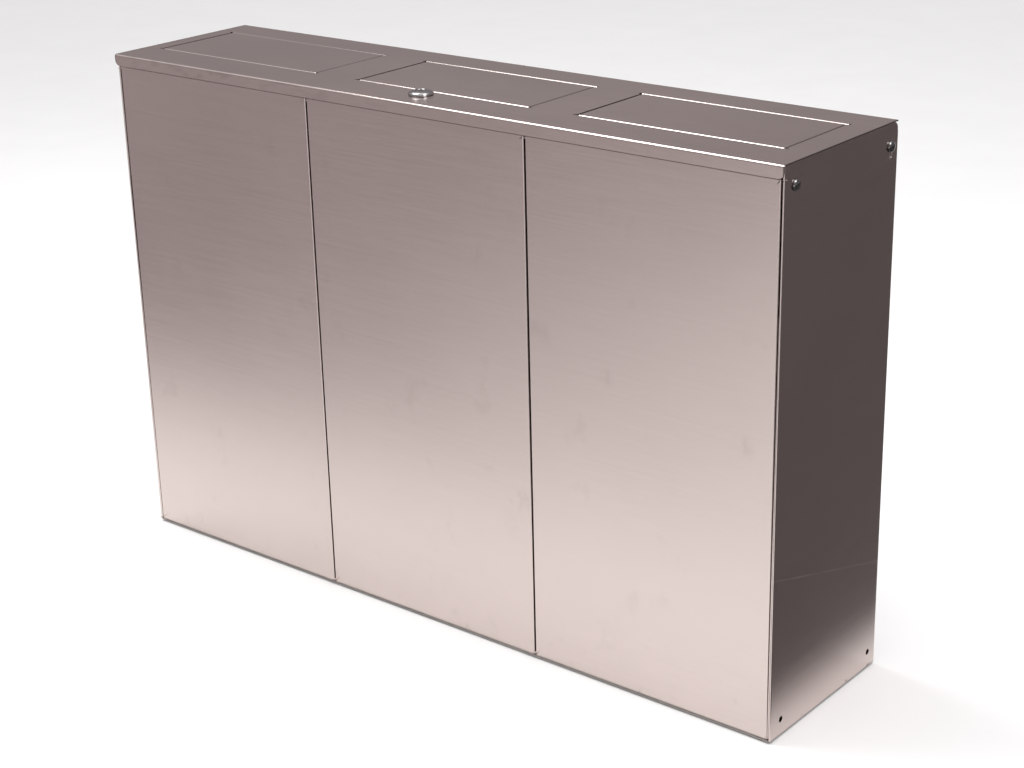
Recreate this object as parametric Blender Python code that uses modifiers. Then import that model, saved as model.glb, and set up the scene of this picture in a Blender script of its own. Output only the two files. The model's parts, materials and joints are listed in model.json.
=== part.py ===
"""Recycling bin station: a wide, shallow stainless cabinet with three compartments.

A rear-hinged lid carries three sprung push flaps and a cam lock. Each compartment has its own
front door on concealed pivot pins and a lift-out liner. Units are metres, +Z is up, the front
faces -Y, and the origin is at the middle of the footprint on the floor.
"""
import math

import bmesh
import bpy
from mathutils import Matrix, Vector

# ---------------------------------------------------------------- driving dimensions
NAME = "recycling_bin_station"
BODY_WIDTH = 0.900
BODY_DEPTH = 0.208
HEIGHT = 0.594
LIP_FORWARD = 0.003
SHEET = 0.001
TOUCH = 0.0003

FRONT_Y = (LIP_FORWARD - BODY_DEPTH) / 2
REAR_Y = (LIP_FORWARD + BODY_DEPTH) / 2
LIP_Y = FRONT_Y - LIP_FORWARD
HALF_WIDTH = BODY_WIDTH / 2
PAD_HEIGHT = 0.0022
BOTTOM = PAD_HEIGHT + TOUCH
FLOOR_TOP = BOTTOM + SHEET
BEND = 0.002
BEND_STEPS = 3

# lid, its front lip and its piano hinge
LID_OVERHANG = 0.001
LID_HALF = HALF_WIDTH + LID_OVERHANG
LID_UNDER = HEIGHT - SHEET
LID_REAR_Y = REAR_Y - 0.0035
LIP_HEIGHT = 0.0132
LIP_BEND = 0.0024
LIP_CORNER = 0.0065
KNUCKLE_RADIUS = 0.00275
KNUCKLE_COUNT = 9
KNUCKLE_PLAY = 0.0005
KNUCKLE_RELIEF = 0.0008
HINGE_Y = LID_REAR_Y - 0.001
HINGE_Z = LID_UNDER - TOUCH - KNUCKLE_RADIUS
HINGE_HALF = 0.430
HINGE_PIN_RADIUS = 0.0015
LEAF_WIDTH = 0.025

# side panels
SHEET_PLAY = 0.0005
SIDE_TOP = LID_UNDER - SHEET_PLAY
HEM_WIDTH = 0.012
HEM_THICK = 0.0023
REAR_FLANGE = 0.015
REAR_FLANGE_TOP = HINGE_Z - 0.007
SIDE_CORNER = 0.007
HOLE_RADIUS = 0.0032
BOLT_FRONT = (FRONT_Y + 0.0195, 0.5715)
BOLT_REAR = (REAR_Y - 0.015, 0.570)
LOW_HOLE_FRONT = (FRONT_Y + 0.0195, 0.0205)
LOW_HOLE_REAR = (REAR_Y - 0.0155, 0.0205)
SLOT_DROP = 0.012
NOTCH_HALF = 0.005
NOTCH_DEPTH = 0.0006
CUT_OVERSHOOT = 0.010

# doors
DOOR_DIVISIONS = (-0.1470, 0.1522)
DOOR_SIDE_GAP = 0.0016
DOOR_GAP = 0.002
DOOR_DEPTH = 0.012
DOOR_BEND = 0.0013
DOOR_BOTTOM = FLOOR_TOP + 0.0009
DOOR_TOP = HEIGHT - LIP_HEIGHT - 0.0007
PIVOT_INSET = 0.0145
PIVOT_DEPTH = 0.007
PIVOT_RADIUS = 0.003
PIVOT_HOLE = 0.0033
PIN_SHOULDER = 0.0045
PIN_HEAD = 0.004
PIN_HEAD_RISE = 0.0022
PIN_HEAD_EDGE = 0.0016
PIN_HEAD_TOP = 0.0032

# magnetic catches
STRIKE_SPAN = (0.022, 0.052)
STRIKE_FOOT = 0.010
STRIKE_DROP = 0.020
STRIKE_SETBACK = 0.002
MAGNET_SPAN = (0.015, 0.059)
MAGNET_DEPTH = 0.014
MAGNET_DROP = 0.016
MAGNET_ROUNDING = 0.0012

# base tray and dividers
TRAY_FLANGE = 0.012
TRAY_HEM_CLEAR = 0.0025
DIVIDER_FLANGE = 0.012

# rails
RAIL_HALF = HALF_WIDTH - HEM_THICK - TOUCH
FRONT_RAIL_Y = FRONT_Y + 0.003
FRONT_RAIL_BOTTOM = DOOR_TOP + 0.0009
FRONT_RAIL_TOP = LID_UNDER - 0.0015
FRONT_RAIL_DEPTH = 0.0195
FRONT_RAIL_LEDGE = 0.0155
BOLT_LAND = 0.0095
REAR_RAIL_Y = HINGE_Y - KNUCKLE_RADIUS - TOUCH
REAR_RAIL_TOP = LID_UNDER - TOUCH - SHEET - SHEET_PLAY
REAR_RAIL_BOTTOM = 0.5573
REAR_RAIL_DEPTH = 0.020
REAR_PLATE_SETBACK = 0.002

# push flaps
FLAPS = {"left": (-0.428, -0.180), "middle": (-0.1163, 0.1184), "right": (0.1793, 0.4186)}
FLAP_FRONT = -0.0519
FLAP_REAR = 0.0586
FLAP_GAP = 0.0015
FLAP_DEPTH = 0.013
FLAP_AXIS_BACK = 0.0046
FLAP_AXIS_DOWN = 0.008
FLAP_AXIS_Y = FLAP_REAR - FLAP_AXIS_BACK
FLAP_AXIS_Z = HEIGHT - FLAP_AXIS_DOWN
OPENING_FLANGE = 0.010
RELIEF = 0.0025
FLAP_EAR = 0.004
ROD_RADIUS = 0.0025
ROD_HOLE = 0.0028
ROD_REACH = 0.0055
ROD_HEAD = 0.004
ROD_HEAD_LENGTH = 0.0012
BRACKET_SETBACK = 0.005
BRACKET_FOOT = 0.011
BRACKET_DROP = 0.0125
BRACKET_HALF = 0.008
SPRING_WIRE = 0.0006
SPRING_RADIUS = 0.0042
SPRING_TURNS = 4
SPRING_POINTS = 9
SPRING_PITCH = 0.0019
SPRING_START = 0.006
SPRING_STUB = 0.0025
SPRING_LEG_BEND = 0.010
SPRING_LEG_RISE = 0.0008
SPRING_LEG = 0.040

# lock
LOCK_X = -0.0117
LOCK_Y = -0.0683
LOCK_RADIUS = 0.0135
LOCK_BARREL = 0.009
LOCK_DOME = 0.0042
LOCK_BOTTOM = 0.578
LOCK_RIM = 0.0008
PLUG_RADIUS = 0.0053
KEYWAY_HALF = (0.0008, 0.0032)
KEYWAY_DEPTH = 0.003
NUT_RADIUS = 0.0127
NUT_HEIGHT = 0.0045
CAM_LENGTH = 0.019
CAM_TAIL = 0.007
CAM_HALF = 0.006
CAM_THICK = 0.002
CAM_ROUNDING = 0.004
CAM_SCREW_HOLE = 0.0024
CAM_SCREW_RADIUS = 0.002
CAM_SCREW_HEAD = 0.0042
CAM_SCREW_LENGTH = 0.008

# liners and dividers
LINER_HALF = 0.134
LINER_FRONT = -0.072
LINER_REAR = 0.083
LINER_TOP = 0.458
LINER_TAPER = 0.94
LINER_RIM = 0.006
LINER_CORNER = 0.010
GRIP_HALF = 0.042
GRIP_DROP = (0.052, 0.028)
GRIP_ROUNDING = 0.0115
DIVIDER_FRONT = -0.078
DIVIDER_REAR = 0.095
DIVIDER_TOP = 0.545

# foot pads and side bolts
PAD_RADIUS = 0.0125
PAD_CHAMFER = 0.0006
PAD_PLACE = (0.405, 0.078)
BOLT_HEAD = 0.006
BOLT_RISE = 0.0034
BOLT_SHANK = 0.0028
BOLT_LENGTH = 0.0062

BAYS = ("left", "middle", "right")
COLOURS = {
    "brushed_stainless": ((0.60, 0.55, 0.53), 0.30, 1.0),
    "inner_stainless": ((0.50, 0.47, 0.46), 0.42, 1.0),
    "bright_chrome": ((0.80, 0.80, 0.80), 0.08, 1.0),
    "zinc_steel": ((0.58, 0.58, 0.56), 0.38, 1.0),
    "galvanised_steel": ((0.52, 0.54, 0.55), 0.48, 1.0),
    "spring_steel": ((0.36, 0.36, 0.37), 0.30, 1.0),
    "black_rubber": ((0.03, 0.03, 0.03), 0.85, 0.0),
    "brown_plastic": ((0.14, 0.09, 0.06), 0.55, 0.0),
}


# ---------------------------------------------------------------- scene and objects
def clear_scene():
    for item in list(bpy.data.objects):
        bpy.data.objects.remove(item, do_unlink=True)


def make_collection(name):
    collection = bpy.data.collections.new(name)
    bpy.context.scene.collection.children.link(collection)
    return collection


def make_material(name):
    colour, roughness, metallic = COLOURS[name]
    result = bpy.data.materials.new(name)
    result.use_nodes = True
    shader = result.node_tree.nodes["Principled BSDF"]
    shader.inputs["Base Color"].default_value = (*colour, 1.0)
    shader.inputs["Roughness"].default_value = roughness
    shader.inputs["Metallic"].default_value = metallic
    return result


def make_pivot(name, location, parent=None):
    """An empty on a joint's axis, which carries the pieces that turn about it."""
    empty = bpy.data.objects.new(name, None)
    PARTS.objects.link(empty)
    empty.location = location
    if parent:
        empty.parent = parent
        empty.location = Vector(location) - WORLD[parent.name]
    WORLD[name] = Vector(location)
    return empty


def finish(bm, name, finish_name, pivot=None, smooth=30):
    """Turn a bmesh in world coordinates into a named part."""
    mesh = bpy.data.meshes.new(name)
    bm.to_mesh(mesh)
    bm.free()
    part = bpy.data.objects.new(name, mesh)
    if finish_name:
        PARTS.objects.link(part)
        mesh.materials.append(MATERIALS[finish_name])
    else:
        CUTTERS.objects.link(part)
        part.hide_render = True
        part.display_type = "WIRE"
    mesh.shade_smooth()
    mesh.set_sharp_from_angle(angle=math.radians(smooth))
    if pivot:
        part.parent = pivot
        part.matrix_parent_inverse = Matrix.Translation(-WORLD[pivot.name])
    return part


def thicken(part, thickness=SHEET):
    """Give an open surface its sheet thickness, on the side away from its normals."""
    solid = part.modifiers.new("sheet", "SOLIDIFY")
    solid.thickness = thickness
    solid.offset = -1.0
    solid.use_even_offset = True
    return part


def boolean(part, other, operation="DIFFERENCE"):
    step = part.modifiers.new(operation.lower(), "BOOLEAN")
    step.operation = operation
    step.solver = "EXACT"
    step.object = other


# ---------------------------------------------------------------- shapes
def arc(centre, radius, start, end, steps):
    """Points from one angle to another, in degrees, about a centre in a plane."""
    angles = [math.radians(start + (end - start) * i / steps) for i in range(steps + 1)]
    return [(centre[0] + radius * math.cos(a), centre[1] + radius * math.sin(a)) for a in angles]


def face_outwards(bm, direction):
    """Make a surface's normals agree, with its largest face looking along a direction."""
    bmesh.ops.recalc_face_normals(bm, faces=bm.faces)
    bm.normal_update()
    largest = max(bm.faces, key=lambda face: face.calc_area())
    if largest.normal.dot(Vector(direction)) < 0:
        bmesh.ops.reverse_faces(bm, faces=bm.faces)


def strip(profile, stations, place, keep=None):
    """A surface swept through stations. place(u, v, s) puts a profile point at a station."""
    bm = bmesh.new()
    rows = [[bm.verts.new(place(u, v, s)) for s in stations] for u, v in profile]
    for i in range(len(profile) - 1):
        for j in range(len(stations) - 1):
            if keep is None or keep(i, j):
                bm.faces.new((rows[i][j], rows[i][j + 1], rows[i + 1][j + 1], rows[i + 1][j]))
    loose = [vert for vert in bm.verts if not vert.link_faces]
    bmesh.ops.delete(bm, geom=loose, context="VERTS")
    return bm


def along_x(u, v, s):
    return (s, u, v)


def along_y(u, v, s):
    return (u, s, v)


def along_z(u, v, s):
    return (u, v, s)


def round_corners(bm, chosen, radius, steps=5):
    """Round the outline of a surface at the chosen boundary corners."""
    corners = [vert for vert in bm.verts if vert.is_boundary and chosen(vert.co)]
    bmesh.ops.bevel(bm, geom=corners, offset=radius, offset_type="OFFSET", segments=steps,
                    profile=0.5, affect="VERTICES")


def cube(low, high):
    bm = bmesh.new()
    bmesh.ops.create_cube(bm, size=1.0)
    low, high = Vector(low), Vector(high)
    size, middle = high - low, (high + low) / 2
    bmesh.ops.scale(bm, vec=size, verts=bm.verts)
    bmesh.ops.translate(bm, vec=middle, verts=bm.verts)
    return bm


def edges_along(bm, axis):
    """The edges that run along one of the axes, 0 for X, 1 for Y and 2 for Z."""
    others = [i for i in range(3) if i != axis]
    return [edge for edge in bm.edges
            if all(abs(edge.verts[0].co[i] - edge.verts[1].co[i]) < 1e-6 for i in others)]


def block(name, low, high, finish_name, radius=0.0, axis=None, pivot=None, steps=2):
    """A box, with its edges rounded all over or only along one axis."""
    bm = cube(low, high)
    if radius:
        chosen = bm.edges[:] if axis is None else edges_along(bm, axis)
        bmesh.ops.bevel(bm, geom=chosen, offset=radius, segments=steps, profile=0.5,
                        affect="EDGES")
    return finish(bm, name, finish_name, pivot)


def pan(low, high, open_sides, radius, steps=BEND_STEPS):
    """A box surface without its open sides, each an outward normal, and with rounded bends."""
    bm = cube(low, high)
    bm.normal_update()
    gone = [face for face in bm.faces
            if any(face.normal.dot(Vector(side)) > 0.9 for side in open_sides)]
    bmesh.ops.delete(bm, geom=gone, context="FACES")
    inner = [edge for edge in bm.edges if len(edge.link_faces) == 2]
    bmesh.ops.bevel(bm, geom=inner, offset=radius, segments=steps, profile=0.5, affect="EDGES")
    return bm


def rod_cutter(name, axis, centre, radius, length, segments=16):
    """A round cutter, centred on a point and running along X, Y or Z."""
    bm = bmesh.new()
    bmesh.ops.create_cone(bm, cap_ends=True, segments=segments, radius1=radius,
                          radius2=radius, depth=length)
    turn = {"X": Matrix.Rotation(math.pi / 2, 4, "Y"), "Y": Matrix.Rotation(math.pi / 2, 4, "X"),
            "Z": Matrix.Identity(4)}[axis]
    bmesh.ops.transform(bm, matrix=Matrix.Translation(centre) @ turn, verts=bm.verts)
    return finish(bm, name, None)


def turned(name, profile, centre, axis, finish_name, pivot=None, steps=20):
    """A turned piece. The profile holds (radius, height) pairs from top to bottom.

    The height runs along +Z, or along the given X direction for axis "+X" or "-X".
    """
    bm = bmesh.new()
    points = [bm.verts.new((radius, 0.0, height)) for radius, height in profile]
    for first, second in zip(points, points[1:]):
        bm.edges.new((first, second))
    part = finish(bm, name, finish_name)
    turn = {"+Z": Matrix.Identity(4), "+X": Matrix.Rotation(math.pi / 2, 4, "Y"),
            "-X": Matrix.Rotation(-math.pi / 2, 4, "Y")}[axis]
    part.matrix_local = Matrix.Translation(centre) @ turn
    screw = part.modifiers.new("turn", "SCREW")
    screw.axis = "Z"
    screw.angle = math.tau
    screw.steps = steps
    screw.render_steps = steps
    screw.use_merge_vertices = True
    screw.merge_threshold = 0.00001
    screw.use_smooth_shade = True
    if pivot:
        part.parent = pivot
        part.matrix_parent_inverse = Matrix.Translation(-WORLD[pivot.name])
    return part


# ---------------------------------------------------------------- cabinet
def build_side_panel(side, name):
    """A sheet side with a hemmed front edge, a rear flange and a rounded rear top corner."""
    hem_centre = (HALF_WIDTH - HEM_THICK / 2, FRONT_Y + HEM_THICK / 2)
    bend_centre = (HALF_WIDTH - BEND, REAR_Y - BEND)
    plan = [(HALF_WIDTH - HEM_THICK, FRONT_Y + HEM_WIDTH)]
    plan += arc(hem_centre, HEM_THICK / 2, 180, 360, 6)
    wall_end = len(plan)
    plan += arc(bend_centre, BEND, 0, 90, BEND_STEPS)
    plan += [(HALF_WIDTH - REAR_FLANGE, REAR_Y)]
    levels = (BOTTOM, REAR_FLANGE_TOP, SIDE_TOP)
    bm = strip(plan, levels, along_z, keep=lambda i, j: j == 0 or i < wall_end)
    round_corners(bm, lambda co: co.z > SIDE_TOP - 1e-6 and co.y > 0.0, SIDE_CORNER)
    face_outwards(bm, (1, 0, 0))
    if side < 0:
        bmesh.ops.scale(bm, vec=(-1, 1, 1), verts=bm.verts)
        bmesh.ops.reverse_faces(bm, faces=bm.faces)
    part = thicken(finish(bm, name, "brushed_stainless"))
    for cutter in SIDE_CUTTERS:
        boolean(part, cutter)


def build_side_cutters():
    """Fixing holes, which run through both side panels."""
    through = BODY_WIDTH + 2 * CUT_OVERSHOOT
    round_holes = {"front_bolt": BOLT_FRONT, "low_front": LOW_HOLE_FRONT, "low_rear": LOW_HOLE_REAR}
    for name, (y, z) in round_holes.items():
        SIDE_CUTTERS.append(rod_cutter("cut_side_" + name, "X", (0, y, z), HOLE_RADIUS, through))
    y, z = BOLT_REAR
    low = (-through / 2, y - HOLE_RADIUS, z - SLOT_DROP)
    high = (through / 2, y + HOLE_RADIUS, z + HOLE_RADIUS)
    slot = block("cut_side_keyhole", low, high, None, radius=HOLE_RADIUS * 0.98, axis=0, steps=5)
    SIDE_CUTTERS.append(slot)
    low = (-through / 2, REAR_Y - NOTCH_DEPTH, z - NOTCH_HALF)
    high = (through / 2, REAR_Y + SHEET, z + NOTCH_HALF)
    SIDE_CUTTERS.append(block("cut_side_notch", low, high, None))


def build_back_panel():
    face = REAR_Y - SHEET - TOUCH
    top = REAR_RAIL_BOTTOM - TOUCH
    profile = [(face, BOTTOM), (face, top - BEND)]
    profile += arc((face - BEND, top - BEND), BEND, 0, 90, BEND_STEPS)[1:]
    profile += [(REAR_RAIL_Y - REAR_RAIL_DEPTH / 2, top)]
    half = HALF_WIDTH - SHEET - SHEET_PLAY
    bm = strip(profile, (-half, half), along_x)
    face_outwards(bm, (0, 1, 0))
    thicken(finish(bm, "back_panel", "inner_stainless"))


def build_base_tray():
    """The floor sheet, with upturned flanges at both ends and at the back."""
    narrow = RAIL_HALF
    wide = HALF_WIDTH - SHEET - TOUCH
    hem_end = FRONT_Y + HEM_WIDTH + TRAY_HEM_CLEAR
    rear = REAR_Y - 2 * SHEET - 2 * TOUCH
    rows = [(FRONT_Y + SHEET_PLAY, BOTTOM), (hem_end, BOTTOM), (rear, BOTTOM)]
    columns = (-wide, -narrow, narrow, wide)
    bm = strip(rows, columns, along_x, keep=lambda i, j: i == 1 or j == 1)
    raised = [edge for edge in bm.edges if edge.is_boundary
              and all(abs(v.co.x) > wide - 1e-6 or v.co.y > rear - 1e-6 for v in edge.verts)]
    lifted = bmesh.ops.extrude_edge_only(bm, edges=raised)["geom"]
    moved = [item for item in lifted if isinstance(item, bmesh.types.BMVert)]
    bmesh.ops.translate(bm, vec=(0, 0, TRAY_FLANGE), verts=moved)
    face_outwards(bm, (0, 0, -1))
    part = thicken(finish(bm, "base_tray", "inner_stainless"))
    for cutter in PIVOT_CUTTERS:
        boolean(part, cutter)


def build_rail(name, profile, outward, plate_low, plate_high, bolt):
    """A folded rail with an end plate welded across each end, drilled for the side bolt."""
    bm = strip(profile, (-RAIL_HALF, RAIL_HALF), along_x)
    face_outwards(bm, outward)
    rail = thicken(finish(bm, name, "inner_stainless"))
    inner = RAIL_HALF - TOUCH
    outer = HALF_WIDTH - SHEET - TOUCH
    for side in (-1, 1):
        ends = sorted((side * inner, side * outer))
        low = (ends[0], *plate_low)
        high = (ends[1], *plate_high)
        plate = block(f"join_{name}_{'right' if side > 0 else 'left'}", low, high, None)
        boolean(rail, plate, "UNION")
    boolean(rail, rod_cutter("cut_" + name, "X", (0, *bolt), HOLE_RADIUS, BODY_WIDTH))
    return rail


def build_front_rail():
    """A channel behind the lip: it stops the lid, holds the top door pivots and is the strike."""
    back = FRONT_RAIL_Y + FRONT_RAIL_DEPTH
    profile = [(back, FRONT_RAIL_BOTTOM), (FRONT_RAIL_Y, FRONT_RAIL_BOTTOM),
               (FRONT_RAIL_Y, FRONT_RAIL_TOP), (FRONT_RAIL_Y + FRONT_RAIL_LEDGE, FRONT_RAIL_TOP)]
    plate_low = (FRONT_Y + HEM_WIDTH + TOUCH, BOLT_FRONT[1] - BOLT_LAND)
    plate_high = (BOLT_FRONT[0] + BOLT_LAND, FRONT_RAIL_TOP)
    rail = build_rail("front_rail", profile, (0, -1, 0), plate_low, plate_high, BOLT_FRONT)
    for cutter in PIVOT_CUTTERS:
        boolean(rail, cutter)


def build_rear_rail():
    """A channel at the back: it carries the lid's hinge and stands on the back panel."""
    front = REAR_RAIL_Y - REAR_RAIL_DEPTH
    profile = [(front, REAR_RAIL_TOP), (REAR_RAIL_Y, REAR_RAIL_TOP),
               (REAR_RAIL_Y, REAR_RAIL_BOTTOM), (front, REAR_RAIL_BOTTOM)]
    plate_low = (front + REAR_PLATE_SETBACK, REAR_RAIL_BOTTOM)
    plate_high = (REAR_RAIL_Y, REAR_RAIL_TOP)
    build_rail("rear_rail", profile, (0, 1, 0), plate_low, plate_high, BOLT_REAR)


def build_dividers():
    for name, x in zip(("divider_left", "divider_right"), DOOR_DIVISIONS):
        flange = x + DIVIDER_FLANGE
        plan = [(flange, DIVIDER_FRONT), (x, DIVIDER_FRONT), (x, DIVIDER_REAR),
                (flange, DIVIDER_REAR)]
        bm = strip(plan, (FLOOR_TOP + TOUCH, DIVIDER_TOP), along_z)
        face_outwards(bm, (-1, 0, 0))
        thicken(finish(bm, name, "inner_stainless"))


def build_liners():
    """Open-topped sheet liners that taper slightly, with a rolled-out rim and two hand holes."""
    low_z = FLOOR_TOP + TOUCH
    middle_y = (LINER_FRONT + LINER_REAR) / 2
    for bay in BAYS:
        x = BAY_CENTRES[bay]
        low = (x - LINER_HALF, LINER_FRONT, low_z)
        high = (x + LINER_HALF, LINER_REAR, LINER_TOP)
        bm = pan(low, high, [(0, 0, 1)], LINER_CORNER, 2)
        for vert in bm.verts:
            share = (vert.co.z - low_z) / (LINER_TOP - low_z)
            scale = LINER_TAPER + (1 - LINER_TAPER) * share
            vert.co.x = x + (vert.co.x - x) * scale
            vert.co.y = middle_y + (vert.co.y - middle_y) * scale
        edge = [item for item in bm.edges if item.is_boundary]
        rim = bmesh.ops.extrude_edge_only(bm, edges=edge)["geom"]
        for vert in [item for item in rim if isinstance(item, bmesh.types.BMVert)]:
            vert.co.x += math.copysign(LINER_RIM, vert.co.x - x)
            vert.co.y += math.copysign(LINER_RIM, vert.co.y - middle_y)
        face_outwards(bm, (0, -1, 0))
        part = thicken(finish(bm, "liner_" + bay, "galvanised_steel"))
        reach = LINER_HALF + CUT_OVERSHOOT
        low = (x - reach, middle_y - GRIP_HALF, LINER_TOP - GRIP_DROP[0])
        high = (x + reach, middle_y + GRIP_HALF, LINER_TOP - GRIP_DROP[1])
        boolean(part, block("cut_hand_hole_" + bay, low, high, None, radius=GRIP_ROUNDING, axis=0,
                            steps=3))


def build_feet():
    spots = {"front_left": (-1, -1), "front_right": (1, -1), "rear_left": (-1, 1),
             "rear_right": (1, 1)}
    profile = [(0, PAD_HEIGHT), (PAD_RADIUS, PAD_HEIGHT), (PAD_RADIUS, PAD_CHAMFER),
               (PAD_RADIUS - PAD_CHAMFER, 0), (0, 0)]
    for name, (side, end) in spots.items():
        place = (side * PAD_PLACE[0], end * PAD_PLACE[1], 0)
        turned("foot_pad_" + name, profile, place, "+Z", "black_rubber", steps=16)


def build_side_bolts():
    """Dome-headed bolts that hold the two rails between the side panels."""
    profile = [(0, BOLT_RISE)]
    profile += [(BOLT_HEAD * math.sin(a), BOLT_RISE * math.cos(a)) for a in
                (math.radians(18 * step) for step in range(1, 5))]
    profile += [(BOLT_HEAD, TOUCH), (BOLT_HEAD, 0), (BOLT_SHANK, 0), (BOLT_SHANK, -BOLT_LENGTH),
                (0, -BOLT_LENGTH)]
    for side, side_name in ((-1, "left"), (1, "right")):
        for end_name, (y, z) in (("front", BOLT_FRONT), ("rear", BOLT_REAR)):
            centre = (side * (HALF_WIDTH + TOUCH), y, z)
            axis = "+X" if side > 0 else "-X"
            turned(f"side_bolt_{end_name}_{side_name}", profile, centre, axis, "bright_chrome",
                   steps=16)


# ---------------------------------------------------------------- lid and hinge
def build_lid(pivot):
    """The top sheet: a lip in front, three openings whose rear edges are bent down."""
    lip_centre = (LIP_Y + LIP_BEND, HEIGHT - LIP_BEND)
    profile = [(LIP_Y, HEIGHT - LIP_HEIGHT)]
    profile += arc(lip_centre, LIP_BEND, 180, 90, 5)
    first_open = len(profile)
    opening_front = FLAP_FRONT - FLAP_GAP
    opening_rear = FLAP_REAR + FLAP_GAP
    profile += [(y, HEIGHT) for y in (opening_front, opening_front + RELIEF, opening_rear - RELIEF,
                                      opening_rear + BEND, LID_REAR_Y)]
    columns = [-LID_HALF]
    kinds = []
    for low, high in FLAPS.values():
        columns += [low - FLAP_GAP - RELIEF, low - FLAP_GAP, high + FLAP_GAP,
                    high + FLAP_GAP + RELIEF]
        kinds += ["plain", "relief", "open", "relief"]
    columns.append(LID_HALF)
    kinds.append("plain")

    def keep(i, j):
        if kinds[j] == "open":
            return not first_open <= i <= first_open + 2
        if kinds[j] == "relief":
            return i not in (first_open, first_open + 2)
        return True

    bm = strip(profile, columns, along_x, keep)
    hem = [edge for edge in bm.edges if edge.is_boundary
           and all(abs(v.co.y - opening_rear - BEND) < 1e-6 for v in edge.verts)]
    hem = [edge for edge in hem if edge.calc_length() > 10 * RELIEF]
    bend = arc((opening_rear + BEND, HEIGHT - BEND), BEND, 90, 180, BEND_STEPS)[1:]
    for y, z in bend + [(opening_rear, HEIGHT - OPENING_FLANGE)]:
        made = bmesh.ops.extrude_edge_only(bm, edges=hem)["geom"]
        hem = [item for item in made if isinstance(item, bmesh.types.BMEdge)
               and item.calc_length() > 10 * RELIEF]
        for vert in {vert for edge in hem for vert in edge.verts}:
            vert.co.y = y
            vert.co.z = z
    round_corners(bm, lambda co: co.z < HEIGHT - LIP_HEIGHT + 1e-6 and abs(co.x) > LID_HALF - 1e-6,
                  LIP_CORNER)
    face_outwards(bm, (0, 0, 1))
    lid = thicken(finish(bm, "lid", "brushed_stainless", pivot))
    boolean(lid, rod_cutter("cut_lid_lock", "Z", (LOCK_X, LOCK_Y, LID_UNDER), LOCK_BARREL + TOUCH,
                            CUT_OVERSHOOT, 24))


def build_hinge_leaf(name, plate, curl, own, outward, pivot=None):
    """A piano-hinge leaf: a plate whose edge is curled into alternate knuckles."""
    length = 2 * HINGE_HALF / KNUCKLE_COUNT
    columns = []
    for k in range(KNUCKLE_COUNT):
        start = -HINGE_HALF + k * length
        columns += [start + KNUCKLE_PLAY / 2, start + length - KNUCKLE_PLAY / 2]

    def keep(i, j):
        in_gap = j % 2 == 1
        knuckle = j // 2
        return i < len(plate) - 1 or (not in_gap and knuckle % 2 == own)

    bm = strip(plate + curl, columns, along_x, keep)
    face_outwards(bm, outward)
    thicken(finish(bm, name, "zinc_steel", pivot))


def build_lid_hinge(pivot):
    clear = KNUCKLE_RADIUS + KNUCKLE_RELIEF
    leg = HINGE_Y - KNUCKLE_RADIUS
    plate = [(leg, HINGE_Z - LEAF_WIDTH), (leg, HINGE_Z - clear)]
    curl = arc((HINGE_Y, HINGE_Z), KNUCKLE_RADIUS, 180, -110, 8)
    build_hinge_leaf("hinge_leaf_cabinet", plate, curl, 0, (0, -1, 0))
    top = HINGE_Z + KNUCKLE_RADIUS
    plate = [(HINGE_Y - LEAF_WIDTH, top), (HINGE_Y - clear, top)]
    curl = arc((HINGE_Y, HINGE_Z), KNUCKLE_RADIUS, 90, -190, 8)
    build_hinge_leaf("hinge_leaf_lid", plate, curl, 1, (0, 0, 1), pivot)
    end = HINGE_HALF + 0.001
    profile = [(0, end), (HINGE_PIN_RADIUS, end), (HINGE_PIN_RADIUS, -end), (0, -end)]
    turned("hinge_pin", profile, (0, HINGE_Y, HINGE_Z), "+X", "zinc_steel", steps=12)


# ---------------------------------------------------------------- flaps
def build_flap(bay, pivot, span):
    low = (span[0], FLAP_FRONT, HEIGHT - FLAP_DEPTH)
    high = (span[1], FLAP_REAR, HEIGHT)
    bm = pan(low, high, [(0, 0, -1), (0, 1, 0)], BEND)
    round_corners(bm, lambda co: co.z < HEIGHT - FLAP_DEPTH + 1e-6 and co.y > FLAP_REAR - 1e-6,
                  FLAP_EAR, 3)
    face_outwards(bm, (0, 0, 1))
    flap = thicken(finish(bm, "flap_" + bay, "brushed_stainless", pivot))
    middle = (sum(span) / 2, FLAP_AXIS_Y, FLAP_AXIS_Z)
    boolean(flap, rod_cutter("cut_flap_" + bay, "X", middle, ROD_HOLE, span[1] - span[0] + 2 * SHEET))


def build_flap_rod(bay, pivot, span):
    """A plain rod between the two brackets, with a small head outside each."""
    half = (span[1] - span[0]) / 2 + ROD_REACH
    tip = half + ROD_HEAD_LENGTH
    profile = [(0, tip), (ROD_HEAD, tip), (ROD_HEAD, half), (ROD_RADIUS, half),
               (ROD_RADIUS, -half), (ROD_HEAD, -half), (ROD_HEAD, -tip), (0, -tip)]
    middle = (sum(span) / 2, FLAP_AXIS_Y, FLAP_AXIS_Z)
    turned("flap_rod_" + bay, profile, middle, "+X", "zinc_steel", pivot, 14)


def build_flap_bracket(name, pivot, side, edge):
    """An angle welded under the lid beside an opening, with a hole for the rod."""
    plate_x = edge + side * BRACKET_SETBACK
    inner_x = plate_x - side * SHEET
    top = LID_UNDER - TOUCH
    profile = [(plate_x + side * BRACKET_FOOT, top), (inner_x, top), (inner_x, top - BRACKET_DROP)]
    bm = strip(profile, (FLAP_AXIS_Y - BRACKET_HALF, FLAP_AXIS_Y + BRACKET_HALF), along_y)
    face_outwards(bm, (-side, 0, 0))
    bracket = thicken(finish(bm, name, "zinc_steel", pivot))
    centre = (plate_x, FLAP_AXIS_Y, FLAP_AXIS_Z)
    boolean(bracket, rod_cutter("cut_" + name, "X", centre, ROD_HOLE, CUT_OVERSHOOT))


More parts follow.
